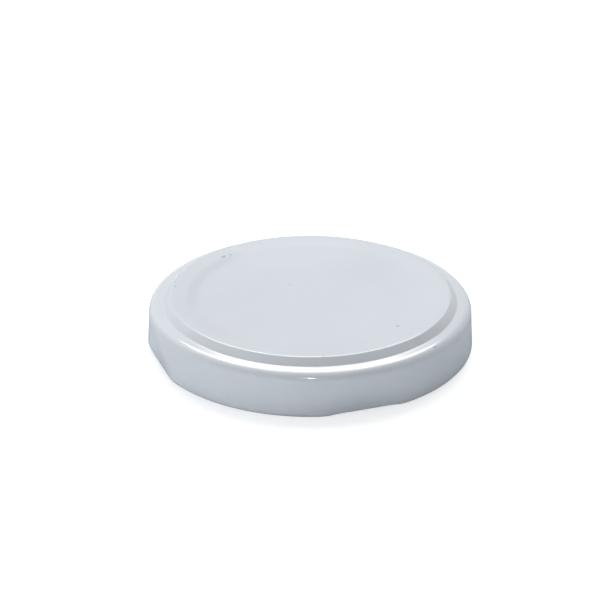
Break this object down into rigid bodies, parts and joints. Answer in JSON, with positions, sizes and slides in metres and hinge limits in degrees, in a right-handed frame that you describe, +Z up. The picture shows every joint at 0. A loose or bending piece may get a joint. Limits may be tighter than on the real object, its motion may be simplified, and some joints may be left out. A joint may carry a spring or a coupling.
{
  "type": "twist-off jar lid",
  "caption": "Round lug lid with a raised panel, a rolled edge pressed into inward lugs, and a sealing ring under its ledge.",
  "frame": {"origin": "centre of the circle on which the lid rests, open side down", "axes": "+Z up along the lid's axis, towards the panel; the lugs point along +X, +Y, -X and -Y"},
  "size_m": [0.0612, 0.0612, 0.0102],
  "materials": {
    "enamelled_tinplate": "glossy white enamel",
    "sealing_compound": "soft satin"
  },
  "bodies": {
    "root": {"lid_shell": "enamelled_tinplate", "sealing_ring": "sealing_compound"}
  },
  "joints": []
}
